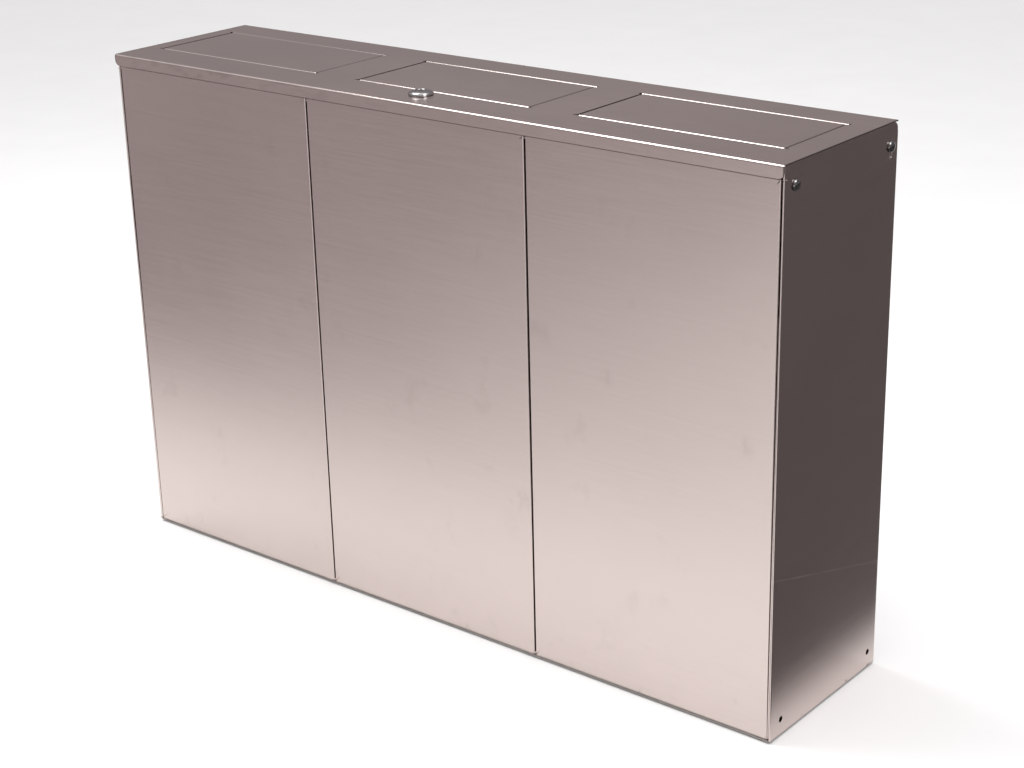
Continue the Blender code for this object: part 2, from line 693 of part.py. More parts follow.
def build_flap_spring(bay, pivot, start_x):
    """A torsion spring on the rod: a coil, a long leg under the flap and a short axial end."""
    coil = []
    for step in range(SPRING_TURNS * SPRING_POINTS + 1):
        turns = step / SPRING_POINTS
        angle = math.radians(90) - math.tau * turns
        coil.append((start_x + SPRING_PITCH * turns,
                     FLAP_AXIS_Y + SPRING_RADIUS * math.cos(angle),
                     FLAP_AXIS_Z + SPRING_RADIUS * math.sin(angle)))
    leg_z = LID_UNDER - TOUCH - SPRING_WIRE
    first, last = Vector(coil[0]), Vector(coil[-1])
    stub = [first + Vector((-SPRING_STUB, 0, 0))]
    bend = last + Vector((0, -SPRING_LEG_BEND, SPRING_LEG_RISE))
    leg = [bend, Vector((last.x, last.y - SPRING_LEG, leg_z))]
    points = stub + [Vector(point) for point in coil] + leg
    curve = bpy.data.curves.new("flap_spring_" + bay, "CURVE")
    curve.dimensions = "3D"
    curve.bevel_depth = SPRING_WIRE
    curve.bevel_resolution = 0
    curve.use_fill_caps = True
    spline = curve.splines.new("POLY")
    spline.points.add(len(points) - 1)
    for point, place in zip(spline.points, points):
        point.co = (*place, 1.0)
    curve.materials.append(MATERIALS["spring_steel"])
    part = bpy.data.objects.new("flap_spring_" + bay, curve)
    PARTS.objects.link(part)
    part.parent = pivot
    part.matrix_parent_inverse = Matrix.Translation(-WORLD[pivot.name])


def build_flaps(lid_pivot):
    for bay, span in FLAPS.items():
        axis_point = (sum(span) / 2, FLAP_AXIS_Y, FLAP_AXIS_Z)
        pivot = make_pivot(f"flap_{bay}_pivot", axis_point, lid_pivot)
        build_flap(bay, pivot, span)
        build_flap_rod(bay, lid_pivot, span)
        build_flap_bracket(f"flap_bracket_{bay}_1", lid_pivot, -1, span[0])
        build_flap_bracket(f"flap_bracket_{bay}_2", lid_pivot, 1, span[1])
        build_flap_spring(bay, pivot, span[0] + SPRING_START)


# ---------------------------------------------------------------- lock
def build_lock(lid_pivot):
    """A cam lock: the domed bezel and barrel stay on the lid, the plug and its cam turn."""
    seat = HEIGHT + TOUCH
    bore = PLUG_RADIUS + 0.0003
    dome_top = seat + LOCK_DOME
    rise = [(bore, dome_top)]
    for step in range(1, 6):
        angle = math.radians(18 * step)
        radius = bore + (LOCK_RADIUS - bore) * math.sin(angle)
        height = seat + LOCK_RIM + (LOCK_DOME - LOCK_RIM) * math.cos(angle)
        rise.append((radius, height))
    profile = rise + [(LOCK_RADIUS, seat), (LOCK_BARREL, seat), (LOCK_BARREL, LOCK_BOTTOM),
                      (bore, LOCK_BOTTOM), (bore, dome_top)]
    turned("lock_bezel", profile, (LOCK_X, LOCK_Y, 0), "+Z", "bright_chrome", lid_pivot, 24)

    nut_top = LID_UNDER - TOUCH
    nut = bmesh.new()
    bmesh.ops.create_cone(nut, cap_ends=True, segments=6, radius1=NUT_RADIUS, radius2=NUT_RADIUS,
                          depth=NUT_HEIGHT)
    bmesh.ops.translate(nut, vec=(LOCK_X, LOCK_Y, nut_top - NUT_HEIGHT / 2), verts=nut.verts)
    nut_part = finish(nut, "lock_nut", "zinc_steel", lid_pivot)
    boolean(nut_part, rod_cutter("cut_lock_nut", "Z", (LOCK_X, LOCK_Y, nut_top),
                                 LOCK_BARREL + TOUCH, 2 * CUT_OVERSHOOT, 16))

    pivot = make_pivot("lock_pivot", (LOCK_X, LOCK_Y, HEIGHT), lid_pivot)
    face = dome_top - TOUCH
    screw_end = LOCK_BOTTOM + CAM_SCREW_LENGTH
    hole_end = screw_end + CAM_SCREW_RADIUS
    profile = [(0, face), (PLUG_RADIUS, face), (PLUG_RADIUS, LOCK_BOTTOM),
               (CAM_SCREW_HOLE, LOCK_BOTTOM), (CAM_SCREW_HOLE, hole_end), (0, hole_end)]
    plug = turned("lock_plug", profile, (LOCK_X, LOCK_Y, 0), "+Z", "bright_chrome", pivot, 16)
    across, along = KEYWAY_HALF
    low = (LOCK_X - across, LOCK_Y - along, face - KEYWAY_DEPTH)
    high = (LOCK_X + across, LOCK_Y + along, face + KEYWAY_DEPTH)
    boolean(plug, block("cut_lock_keyway", low, high, None))

    cam_top = LOCK_BOTTOM - TOUCH
    low = (LOCK_X - CAM_TAIL, LOCK_Y - CAM_HALF, cam_top - CAM_THICK)
    high = (LOCK_X + CAM_LENGTH, LOCK_Y + CAM_HALF, cam_top)
    cam = block("lock_cam", low, high, "zinc_steel", radius=CAM_ROUNDING, axis=2, pivot=pivot)
    boolean(cam, rod_cutter("cut_lock_cam", "Z", (LOCK_X, LOCK_Y, cam_top), CAM_SCREW_HOLE,
                            CUT_OVERSHOOT, 12))

    seat_z = cam_top - CAM_THICK - TOUCH
    head_edge = seat_z - 0.7 * CAM_SCREW_RADIUS
    head_end = seat_z - 1.3 * CAM_SCREW_RADIUS
    profile = [(0, screw_end), (CAM_SCREW_RADIUS, screw_end), (CAM_SCREW_RADIUS, seat_z),
               (CAM_SCREW_HEAD, seat_z), (CAM_SCREW_HEAD, head_edge),
               (0.8 * CAM_SCREW_HEAD, head_end), (0, head_end)]
    turned("cam_screw", profile, (LOCK_X, LOCK_Y, 0), "+Z", "zinc_steel", pivot, 14)


# ---------------------------------------------------------------- doors
def build_pivot_pin(name, x, plate_side, door_side, direction, pivot):
    """A shouldered pin riveted to a door's return, turning in the fixed sheet beyond it.

    direction is +1 where the pin points up out of the door and -1 where it points down.
    """
    y = FRONT_Y + PIVOT_DEPTH
    far = abs(plate_side - door_side) + SHEET
    near = -SHEET - TOUCH
    shoulder_far = abs(plate_side - door_side) - TOUCH
    head_end = near - PIN_HEAD_RISE
    steps = [(0, far), (PIVOT_RADIUS, far), (PIVOT_RADIUS, shoulder_far),
             (PIN_SHOULDER, shoulder_far), (PIN_SHOULDER, TOUCH), (PIVOT_RADIUS, TOUCH),
             (PIVOT_RADIUS, near), (PIN_HEAD, near), (PIN_HEAD, near - PIN_HEAD_EDGE),
             (PIN_HEAD_TOP, head_end), (0, head_end)]
    profile = [(radius, direction * height) for radius, height in steps]
    if direction < 0:
        profile.reverse()
    turned(name, profile, (x, y, door_side), "+Z", "zinc_steel", pivot, 12)


def build_strike_plate(bay, free_x, inward, pivot):
    """A small angle under the door's top return, which the magnet holds."""
    top = DOOR_TOP - SHEET - TOUCH
    face = FRONT_Y + DOOR_DEPTH + STRIKE_SETBACK
    profile = [(face - STRIKE_FOOT, top), (face, top), (face, top - STRIKE_DROP)]
    ends = sorted(free_x + inward * reach for reach in STRIKE_SPAN)
    bm = strip(profile, ends, along_x)
    face_outwards(bm, (0, 1, 0))
    thicken(finish(bm, "strike_plate_" + bay, "zinc_steel", pivot))


def build_magnet(bay, free_x, inward):
    ends = sorted(free_x + inward * reach for reach in MAGNET_SPAN)
    face = FRONT_Y + DOOR_DEPTH + STRIKE_SETBACK + TOUCH
    low = (ends[0], face, FRONT_RAIL_BOTTOM - MAGNET_DROP)
    high = (ends[1], face + MAGNET_DEPTH, FRONT_RAIL_BOTTOM - TOUCH)
    block("magnetic_catch_" + bay, low, high, "brown_plastic", radius=MAGNET_ROUNDING)


def build_doors():
    """Three pan doors. The left two are hung on their left edges and the right one on its right."""
    outer = HALF_WIDTH - HEM_THICK - DOOR_SIDE_GAP
    edges = [-outer]
    for x in DOOR_DIVISIONS:
        edges += [x - DOOR_GAP / 2, x + DOOR_GAP / 2]
    edges.append(outer)
    for index, bay in enumerate(BAYS):
        left, right = edges[2 * index], edges[2 * index + 1]
        hinge_side = 1 if bay == "right" else -1
        hinge_x = (right if hinge_side > 0 else left) - hinge_side * PIVOT_INSET
        free_x = left if hinge_side > 0 else right
        pivot = make_pivot(f"door_{bay}_pivot", (hinge_x, FRONT_Y + PIVOT_DEPTH, DOOR_BOTTOM))
        bm = pan((left, FRONT_Y, DOOR_BOTTOM), (right, FRONT_Y + DOOR_DEPTH, DOOR_TOP),
                 [(0, 1, 0)], DOOR_BEND)
        face_outwards(bm, (0, -1, 0))
        door = thicken(finish(bm, "door_" + bay, "brushed_stainless", pivot))
        reach = FRONT_RAIL_BOTTOM + 3 * SHEET
        middle = (hinge_x, FRONT_Y + PIVOT_DEPTH, reach / 2)
        cutter = rod_cutter("cut_pivot_" + bay, "Z", middle, PIVOT_HOLE, reach)
        PIVOT_CUTTERS.append(cutter)
        boolean(door, cutter)
        build_pivot_pin(f"door_pin_{bay}_top", hinge_x, FRONT_RAIL_BOTTOM, DOOR_TOP, 1, pivot)
        build_pivot_pin(f"door_pin_{bay}_bottom", hinge_x, FLOOR_TOP, DOOR_BOTTOM, -1, pivot)
        build_strike_plate(bay, free_x, hinge_side, pivot)
        build_magnet(bay, free_x, hinge_side)


# ---------------------------------------------------------------- assembly
clear_scene()
PARTS = make_collection(NAME)
CUTTERS = make_collection("cutters")
MATERIALS = {name: make_material(name) for name in COLOURS}
WORLD = {}
SIDE_CUTTERS = []
PIVOT_CUTTERS = []
BAY_EDGES = (-HALF_WIDTH, *DOOR_DIVISIONS, HALF_WIDTH)
BAY_CENTRES = {bay: (BAY_EDGES[i] + BAY_EDGES[i + 1]) / 2 for i, bay in enumerate(BAYS)}

build_side_cutters()
build_side_panel(-1, "side_panel_left")
build_side_panel(1, "side_panel_right")
build_back_panel()
build_doors()
build_base_tray()
build_front_rail()
build_rear_rail()
build_dividers()
build_liners()
build_feet()
build_side_bolts()
LID_PIVOT = make_pivot("lid_pivot", (0, HINGE_Y, HINGE_Z))
build_lid(LID_PIVOT)
build_lid_hinge(LID_PIVOT)
build_flaps(LID_PIVOT)
build_lock(LID_PIVOT)
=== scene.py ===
"""Looks of the recycling bin station: materials, fine sheet-metal detail, light and camera.

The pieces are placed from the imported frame, in metres, with +Z up and the front facing -Y.
The surface marks, the stage, the lights and the camera have places of their own.
"""
import json
import math

import bmesh
import bpy
from mathutils import Matrix, Vector

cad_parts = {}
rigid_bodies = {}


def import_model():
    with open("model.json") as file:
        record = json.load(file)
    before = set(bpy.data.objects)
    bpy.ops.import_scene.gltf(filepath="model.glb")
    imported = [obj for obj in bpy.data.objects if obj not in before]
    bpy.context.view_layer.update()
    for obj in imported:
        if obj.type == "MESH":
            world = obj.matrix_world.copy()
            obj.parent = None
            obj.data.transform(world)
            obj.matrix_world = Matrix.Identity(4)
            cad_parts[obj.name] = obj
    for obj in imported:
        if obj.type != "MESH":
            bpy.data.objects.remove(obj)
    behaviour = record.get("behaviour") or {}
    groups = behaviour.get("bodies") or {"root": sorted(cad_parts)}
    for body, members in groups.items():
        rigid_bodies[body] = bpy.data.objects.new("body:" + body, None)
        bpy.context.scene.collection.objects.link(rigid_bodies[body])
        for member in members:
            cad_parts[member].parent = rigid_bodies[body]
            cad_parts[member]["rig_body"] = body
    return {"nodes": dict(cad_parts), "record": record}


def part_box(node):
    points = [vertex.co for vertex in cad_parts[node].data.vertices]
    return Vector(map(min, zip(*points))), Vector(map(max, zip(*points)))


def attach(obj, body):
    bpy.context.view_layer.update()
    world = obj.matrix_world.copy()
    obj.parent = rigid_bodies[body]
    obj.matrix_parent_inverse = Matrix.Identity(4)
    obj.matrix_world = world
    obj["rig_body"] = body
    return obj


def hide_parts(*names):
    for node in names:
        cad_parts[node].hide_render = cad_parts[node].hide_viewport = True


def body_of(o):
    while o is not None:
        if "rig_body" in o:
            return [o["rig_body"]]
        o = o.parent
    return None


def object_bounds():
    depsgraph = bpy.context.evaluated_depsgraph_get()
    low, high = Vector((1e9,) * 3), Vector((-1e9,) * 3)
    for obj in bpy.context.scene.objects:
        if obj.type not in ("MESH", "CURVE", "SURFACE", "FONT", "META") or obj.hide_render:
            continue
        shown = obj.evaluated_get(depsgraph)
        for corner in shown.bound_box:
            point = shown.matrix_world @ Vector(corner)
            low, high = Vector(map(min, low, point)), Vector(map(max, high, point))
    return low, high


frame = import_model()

CAD_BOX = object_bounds()
NODES = frame["nodes"]
BAYS = ("left", "middle", "right")
FLAPS = tuple("flap_" + bay for bay in BAYS)
SLOTS = {part["node"]: part["material_slot"] for part in frame["record"]["subparts"]}
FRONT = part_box("side_panel_right")[0].y
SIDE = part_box("side_panel_right")[1].x
SIDE_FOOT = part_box("side_panel_right")[0].z

# sheet detail
ARRIS = 0.00018
CRISP_ARRIS = 0.00003
SOFT_ARRIS = 0.00042
CUT_ANGLE = math.radians(60)
DOOR_SIDE_GAP = 0.0016
SMOOTH_ANGLE = math.radians(50)
WELD_TOLERANCE = 1e-6
COPLANAR = math.radians(0.5)


# ---------------------------------------------------------------- material helpers
class Graph:
    """One material's node tree, with short calls for the nodes used here."""

    def __init__(self, name):
        self.material = bpy.data.materials.new(name)
        self.material.use_nodes = True
        self.tree = self.material.node_tree
        self.tree.nodes.clear()
        self.output = self.tree.nodes.new("ShaderNodeOutputMaterial")

    def add(self, kind, inputs=(), **settings):
        """A node of that kind. inputs maps socket names or numbers to values or sockets."""
        node = self.tree.nodes.new("ShaderNode" + kind)
        for name, value in settings.items():
            setattr(node, name, value)
        for key, value in dict(inputs).items():
            socket = node.inputs[key]
            if isinstance(value, bpy.types.NodeSocket):
                self.tree.links.new(value, socket)
            else:
                socket.default_value = value
        return node

    def place(self):
        return self.add("TexCoord").outputs["Object"]

    def parts(self, vector):
        """The X, Y and Z sockets of a vector."""
        return self.add("SeparateXYZ", {0: vector}).outputs

    def stretched(self, scale):
        """Object coordinates times a scale for each axis."""
        node = self.add("VectorMath", {0: self.place(), 1: scale}, operation="MULTIPLY")
        return node.outputs[0]

    def noise(self, scale, size=1.0, detail=3.0, roughness=0.55):
        """Noise from 0 to 1 on coordinates multiplied by scale, a vector."""
        node = self.add("TexNoise", {"Vector": self.stretched(scale), "Scale": size,
                                     "Detail": detail, "Roughness": roughness})
        return node.outputs["Fac"]

    def math(self, operation, first, second=0.0, clamp=False):
        node = self.add("Math", {0: first, 1: second}, operation=operation, use_clamp=clamp)
        return node.outputs[0]

    def remap(self, value, low, high, to_low, to_high, kind="LINEAR"):
        node = self.add("MapRange", {"Value": value, "From Min": low, "From Max": high,
                                     "To Min": to_low, "To Max": to_high}, interpolation_type=kind)
        return node.outputs[0]

    def ease(self, value, low, high, to_low, to_high):
        """A smooth step between two values."""
        return self.remap(value, low, high, to_low, to_high, "SMOOTHSTEP")

    def mix(self, share, first, second, blend="MIX"):
        """Mix of two colours."""
        node = self.add("Mix", {0: share, 6: first, 7: second}, data_type="RGBA", blend_type=blend)
        return node.outputs[2]

    def scaled(self, colour, share):
        """A colour times a value."""
        return self.add("VectorMath", {0: colour, "Scale": share}, operation="SCALE").outputs[0]

    def bump(self, height, strength, distance, normal=None):
        inputs = {"Height": height, "Strength": strength, "Distance": distance}
        if normal:
            inputs["Normal"] = normal
        return self.add("Bump", inputs).outputs[0]

    def edges(self, radius):
        """1 on convex and concave edges within a radius, and 0 on flat faces."""
        soft = self.add("Bevel", {"Radius": radius}, samples=4).outputs[0]
        true = self.add("NewGeometry").outputs["Normal"]
        same = self.add("VectorMath", {0: soft, 1: true}, operation="DOT_PRODUCT").outputs["Value"]
        return self.remap(same, 0.995, 0.90, 0.0, 1.0)

    def finish(self, inputs):
        shader = self.add("BsdfPrincipled", inputs)
        self.tree.links.new(shader.outputs[0], self.output.inputs["Surface"])
        return self.material


def grey(value, tint=(1.0, 1.0, 1.0)):
    return (*(value * part for part in tint), 1.0)


# ---------------------------------------------------------------- materials
STEEL_TINT = (1.0, 0.865, 0.82)
# Tint of dark stains, also used for painted shade in gaps and along the side panels' bottom edges.
STAIN_AND_SHADE_TINT = (0.86, 0.80, 0.76)


def across(direction):
    """Scales that draw a texture out along X, Y or Z, for brushing that runs that way."""
    return lambda along, over: tuple(along if axis == direction else over for axis in "XYZ")


def line_mask(g, first, second, run, fall, width):
    """1 along a straight line on a face: second = fall[0] at first = run[0], to fall[1] at run[1]."""
    level = g.remap(first, run[0], run[1], fall[0], fall[1])
    off = g.math("ABSOLUTE", g.math("SUBTRACT", second, level))
    return g.ease(off, 0.0, width, 1.0, 0.0)


def brushed_stainless(name, brushing, blur, value=0.64, marks=None, grain=0.042, edge_lift=0.35):
    """Satin stainless sheet. Fine lines run along one axis and draw reflections out along blur.

    marks adds the face's marks, painted highlights and painted shade among them: it takes the graph and
    gives (lighter, darker) masks.
    grain is how much the lines vary the brightness, and the edge amount how much lighter the edges are:
    partly wear, partly a painted highlight.
    """
    g = Graph(name)
    drawn = across(brushing)
    fine = g.noise(drawn(9.0, 2200.0), detail=2.0)
    medium = g.noise(drawn(11.0, 340.0), detail=4.0)
    cloud = g.noise((4.0, 4.0, 4.0), detail=3.0)
    smear = g.noise((24.0, 24.0, 15.0), detail=5.0, roughness=0.65)
    spots = g.noise((85.0, 85.0, 85.0), detail=3.0, roughness=0.6)
    smeared = g.ease(smear, 0.58, 0.75, 0.0, 1.0)
    spotted = g.ease(spots, 0.70, 0.80, 0.0, 1.0)
    lines = g.math("ADD", g.math("MULTIPLY", fine, 0.6), g.math("MULTIPLY", medium, 0.4))
    shade = g.remap(lines, 0.3, 0.7, 1.0 - grain, 1.0 + grain)
    shade = g.math("MULTIPLY", shade, g.remap(cloud, 0.3, 0.7, 0.975, 1.025))
    shade = g.math("MULTIPLY", shade, g.remap(smeared, 0.0, 1.0, 1.0, 0.94))
    base = g.scaled(grey(value, STEEL_TINT)[:3], shade)
    if marks:
        lighter, darker = marks(g)
        # lighter marks are scratches and painted highlight dots; darker marks are stains and painted shade
        base = g.mix(lighter, base, grey(0.92, STEEL_TINT))
        base = g.mix(g.math("MULTIPLY", darker, 0.75), base, grey(0.12, STAIN_AND_SHADE_TINT))
    base = g.mix(g.math("MULTIPLY", spotted, 0.08), base, grey(0.35, STAIN_AND_SHADE_TINT))
    # lighter edges: partly wear, partly a painted highlight along bends and arrises
    worn_and_lit_edges = g.edges(0.0006)
    base = g.mix(g.math("MULTIPLY", worn_and_lit_edges, edge_lift), base, grey(0.82, STEEL_TINT))
    rough = g.remap(lines, 0.25, 0.75, 0.175, 0.255)
    rough = g.math("ADD", rough, g.remap(cloud, 0.3, 0.7, -0.012, 0.018))
    rough = g.math("ADD", rough, g.math("MULTIPLY", smeared, 0.035), clamp=True)
    tangent = g.add("VectorTransform", {0: tuple(1.0 if a == blur else 0.0 for a in "XYZ")},
                    vector_type="VECTOR", convert_from="OBJECT", convert_to="WORLD").outputs[0]
    wave = g.noise((7.0, 7.0, 3.5), detail=1.0)
    normal = g.bump(wave, 0.16, 0.0012)
    normal = g.bump(lines, 0.13, 0.00003, normal)
    return g.finish({"Base Color": base, "Metallic": 1.0, "Roughness": rough, "Normal": normal,
                     "Anisotropic": 0.6, "Tangent": tangent})


def front_marks(g):
    """Handling stains near the doors' bottom edges."""
    height = g.parts(g.place())[2]
    low = g.ease(height, 0.012, 0.10, 1.0, 0.0)
    blot = g.ease(g.noise((60.0, 60.0, 45.0), detail=4.0, roughness=0.6), 0.60, 0.78, 0.0, 1.0)
    return 0.0, g.math("MULTIPLY", g.math("MULTIPLY", low, blot), 0.28)


def side_marks_and_painted_shadow(g):
    """A long rub line across the side, dark specks on its bottom and rear edges, and a painted shadow along
    its very bottom edge.
    """
    x, y, z = g.parts(g.place())
    patchy = g.ease(g.noise((3.0, 30.0, 30.0), detail=3.0), 0.30, 0.62, 0.15, 1.0)
    rub = line_mask(g, y, z, (-0.10, 0.105), (0.180, 0.122), 0.0014)
    low = g.ease(z, SIDE_FOOT + 0.0025, SIDE_FOOT + 0.006, 1.0, 0.0)
    # painted shadow: a solid dark band along the side's bottom edge, next to the floor
    foot = g.ease(z, SIDE_FOOT + 0.0009, SIDE_FOOT + 0.0017, 0.75, 0.0)
    back = g.ease(y, CAD_BOX[1].y - 0.004, CAD_BOX[1].y, 0.0, 1.0)
    sideways = g.math("ABSOLUTE", g.parts(g.add("NewGeometry").outputs["True Normal"])[0])
    back = g.math("MULTIPLY", back, g.ease(sideways, 0.4, 0.8, 0.0, 1.0))
    speck = g.ease(g.noise((90.0, 90.0, 90.0), detail=3.0, roughness=0.7), 0.58, 0.66, 0.0, 1.0)
    # the dark mask holds the specks and the painted bottom-edge shadow
    dark = g.math("MAXIMUM", foot, g.math("MULTIPLY", g.math("MAXIMUM", low, back), speck))
    return g.math("MULTIPLY", g.math("MULTIPLY", rub, patchy), 0.9), dark


def painted_glint_dots(g):
    """A few painted highlight dots, far apart, standing for pin-prick dents that catch the light."""
    cells = g.add("TexVoronoi", {"Vector": g.place(), "Scale": 13.0})
    chosen = g.add("SeparateColor", {0: cells.outputs["Color"]}).outputs[1]
    # painted highlight: a small light dot in a few chosen cells
    dot = g.ease(cells.outputs["Distance"], 0.008, 0.014, 1.0, 0.0)
    return g.math("MULTIPLY", dot, g.ease(chosen, 0.55, 0.60, 0.0, 1.0))


def lid_marks_and_painted_light(g):
    """Painted highlight dots, painted shade on the lid's cut edges at its ends and in its openings, in the
    gaps to the side panels and flaps, and stains on its lip.
    """
    x, y, _ = g.parts(g.place())
    # painted shade on the lid's end faces, in the gap above the side panels
    end = g.ease(g.math("ABSOLUTE", x), SIDE - 0.0005, SIDE - 0.0002, 0.0, 1.0)
    facing = g.parts(g.add("NewGeometry").outputs["True Normal"])[1]
    # painted shade on the forward-facing cut edges behind the lip, in the gaps of the flap openings
    forward = g.ease(facing, -0.95, -0.30, 1.0, 0.0)
    painted_opening_shade = g.math("MULTIPLY", forward, g.ease(y, -0.09, -0.08, 0.0, 1.0))
    end = g.math("MAXIMUM", end, painted_opening_shade)
    face = g.ease(y, FRONT, FRONT + 0.0006, 1.0, 0.0)
    lip = g.math("MULTIPLY", face, g.ease(x, -0.30, 0.10, 1.0, 0.25))
    blot = g.ease(g.noise((28.0, 28.0, 90.0), detail=4.0), 0.48, 0.62, 0.0, 0.16)
    return painted_glint_dots(g), g.math("MAXIMUM", end, g.math("MULTIPLY", lip, blot))


def flap_painted_light(g):
    """Painted highlight dots, and painted shade on the cut edges down both sides of a flap, in the gaps
    beside it.
    """
    facing = g.parts(g.add("NewGeometry").outputs["True Normal"])[0]
    # painted shade on the faces that look sideways into the gaps
    return painted_glint_dots(g), g.ease(g.math("ABSOLUTE", facing), 0.20, 0.36, 0.0, 1.0)


def plain_metal(name, colour, low, high, grain, edge_lift=0.3, bump=0.05):
    """Mill-finished or plated metal with a soft grain, tarnish and brighter edges."""
    g = Graph(name)
    fine = g.noise((grain, grain, grain), detail=4.0)
    patch = g.noise((6.0, 6.0, 6.0), detail=3.0)
    shade = g.math("MULTIPLY", g.remap(fine, 0.3, 0.7, 0.94, 1.06), g.remap(patch, 0.3, 0.7, 0.97, 1.03))
    base = g.mix(g.math("MULTIPLY", g.edges(0.0005), edge_lift), g.scaled(colour, shade), grey(0.85))
    rough = g.remap(fine, 0.3, 0.7, low, high)
    rough = g.math("ADD", rough, g.remap(patch, 0.3, 0.7, -0.015, 0.015), clamp=True)
    normal = g.bump(fine, bump, 0.0001)
    return g.finish({"Base Color": base, "Metallic": 1.0, "Roughness": rough, "Normal": normal})


def galvanised(name):
    """Hot-dip zinc with its flat crystal spangles."""
    g = Graph(name)
    cells = g.add("TexVoronoi", {"Vector": g.place(), "Scale": 95.0}, feature="F1")
    tone = g.add("SeparateColor", {0: cells.outputs["Color"]}).outputs[0]
    fine = g.noise((900.0, 900.0, 900.0), detail=2.0)
    shade = g.math("MULTIPLY", g.remap(tone, 0.0, 1.0, 0.84, 1.12), g.remap(fine, 0.3, 0.7, 0.96, 1.04))
    base = g.scaled((0.50, 0.52, 0.53), shade)
    base = g.mix(g.math("MULTIPLY", g.edges(0.0006), 0.4), base, grey(0.78))
    rough = g.math("ADD", g.remap(tone, 0.0, 1.0, 0.36, 0.56), g.remap(fine, 0.3, 0.7, -0.03, 0.03))
    normal = g.bump(tone, 0.05, 0.0002)
    return g.finish({"Base Color": base, "Metallic": 1.0, "Roughness": rough, "Normal": normal})


def chrome(name, value):
    g = Graph(name)
    haze = g.noise((160.0, 160.0, 160.0), detail=4.0)
    scratch = g.noise((3000.0, 200.0, 200.0), detail=2.0)
    base = g.mix(g.remap(haze, 0.35, 0.7, 0.0, 1.0), grey(value), grey(value * 0.85, (1.0, 0.97, 0.95)))
    rough = g.math("ADD", g.remap(haze, 0.3, 0.7, 0.035, 0.08), g.remap(scratch, 0.55, 0.75, 0.0, 0.05))
    normal = g.bump(scratch, 0.02, 0.00005)
    return g.finish({"Base Color": base, "Metallic": 1.0, "Roughness": rough, "Normal": normal})


def rubber(name):
    g = Graph(name)
    grain = g.noise((1400.0, 1400.0, 1400.0), detail=3.0)
    dust = g.noise((90.0, 90.0, 90.0), detail=4.0)
    base = g.mix(g.remap(dust, 0.5, 0.75, 0.0, 0.5), grey(0.022), grey(0.10, (1.0, 0.96, 0.9)))
    return g.finish({"Base Color": base, "Roughness": g.remap(grain, 0.3, 0.7, 0.68, 0.92),
                     "Normal": g.bump(grain, 0.25, 0.0002)})


def moulded_plastic(name):
    g = Graph(name)
    grain = g.noise((2200.0, 2200.0, 2200.0), detail=3.0)
    flow = g.noise((60.0, 25.0, 120.0), detail=3.0)
    base = g.mix(g.remap(flow, 0.3, 0.7, 0.0, 1.0), (0.12, 0.075, 0.048, 1.0), (0.17, 0.11, 0.072, 1.0))
    base = g.mix(g.math("MULTIPLY", g.edges(0.0008), 0.35), base, (0.28, 0.21, 0.16, 1.0))
    return g.finish({"Base Color": base, "Roughness": g.remap(grain, 0.3, 0.7, 0.42, 0.62),
                     "Normal": g.bump(grain, 0.15, 0.0001)})


def make_materials():
    inner = (0.50, 0.455, 0.44)
    zinc = (0.58, 0.58, 0.56)
    spring = (0.34, 0.34, 0.35)
    return {
        "front_sheet": brushed_stainless("brushed_front", "X", "Z", marks=front_marks),
        "top_sheet": brushed_stainless("brushed_top", "X", "Y", marks=lid_marks_and_painted_light, grain=0.025, edge_lift=0.12),
        "flap_sheet": brushed_stainless("brushed_flap", "X", "Y", marks=flap_painted_light, grain=0.025, edge_lift=0.25),
        "side_sheet": brushed_stainless("brushed_side", "Y", "Z", marks=side_marks_and_painted_shadow),
        "inner_stainless": plain_metal("mill_stainless", inner, 0.34, 0.46, 420.0),
        "zinc_steel": plain_metal("bright_zinc", zinc, 0.24, 0.40, 800.0, edge_lift=0.5),
        "spring_steel": plain_metal("oiled_wire", spring, 0.22, 0.34, 1500.0),
        "galvanised_steel": galvanised("spangled_zinc"),
        "bright_chrome": chrome("polished_chrome", 0.50),
        # painted shade: a darker copy of the chrome, so the bolt heads read darker
        "shaded_bolt_chrome": chrome("darkened_bolt_chrome", 0.27),
        "black_rubber": rubber("pad_rubber"),
        "brown_plastic": moulded_plastic("catch_plastic"),
    }


def material_for(node):
    slot = SLOTS[node]
    # bolt heads get the darker, painted-shade chrome copy
    if node.startswith("side_bolt"):
        return MATERIALS["shaded_bolt_chrome"]
    if slot != "brushed_stainless":
        return MATERIALS[slot]
    if node.startswith("door"):
        return MATERIALS["front_sheet"]
    if node.startswith("side"):
        return MATERIALS["side_sheet"]
    if node in FLAPS:
        return MATERIALS["flap_sheet"]
    return MATERIALS["top_sheet"]


# ---------------------------------------------------------------- finer pieces
def add_piece(name, mesh, node, material=None, stands_for=()):
    """A piece with that mesh, on the body that carries a CAD node and with the node's slot."""
    piece = bpy.data.objects.new(name, mesh)
    bpy.context.scene.collection.objects.link(piece)
    piece.data.materials.clear()
    piece.data.materials.append(material or material_for(node))
    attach(piece, body_of(NODES[node])[0])
    if stands_for:
        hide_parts(*stands_for)
    return piece


def shade(piece):
    """Smooth shading that keeps flat sheet flat and sharp arrises sharp."""
    piece.data.shade_smooth()
    piece.data.set_sharp_from_angle(angle=SMOOTH_ANGLE)
    level = piece.modifiers.new("flat_faces", "WEIGHTED_NORMAL")
    level.keep_sharp = True
    level.weight = 100


def cut_grid(bm, low, high, axis, count):
    """Cuts the mesh along evenly spaced planes across one axis."""
    normal = Vector([1.0 if i == axis else 0.0 for i in range(3)])
    for step in range(1, count):
        point = normal * (low[axis] + (high[axis] - low[axis]) * step / count)
        everything = bm.verts[:] + bm.edges[:] + bm.faces[:]
        bmesh.ops.bisect_plane(bm, geom=everything, plane_co=point, plane_no=normal)


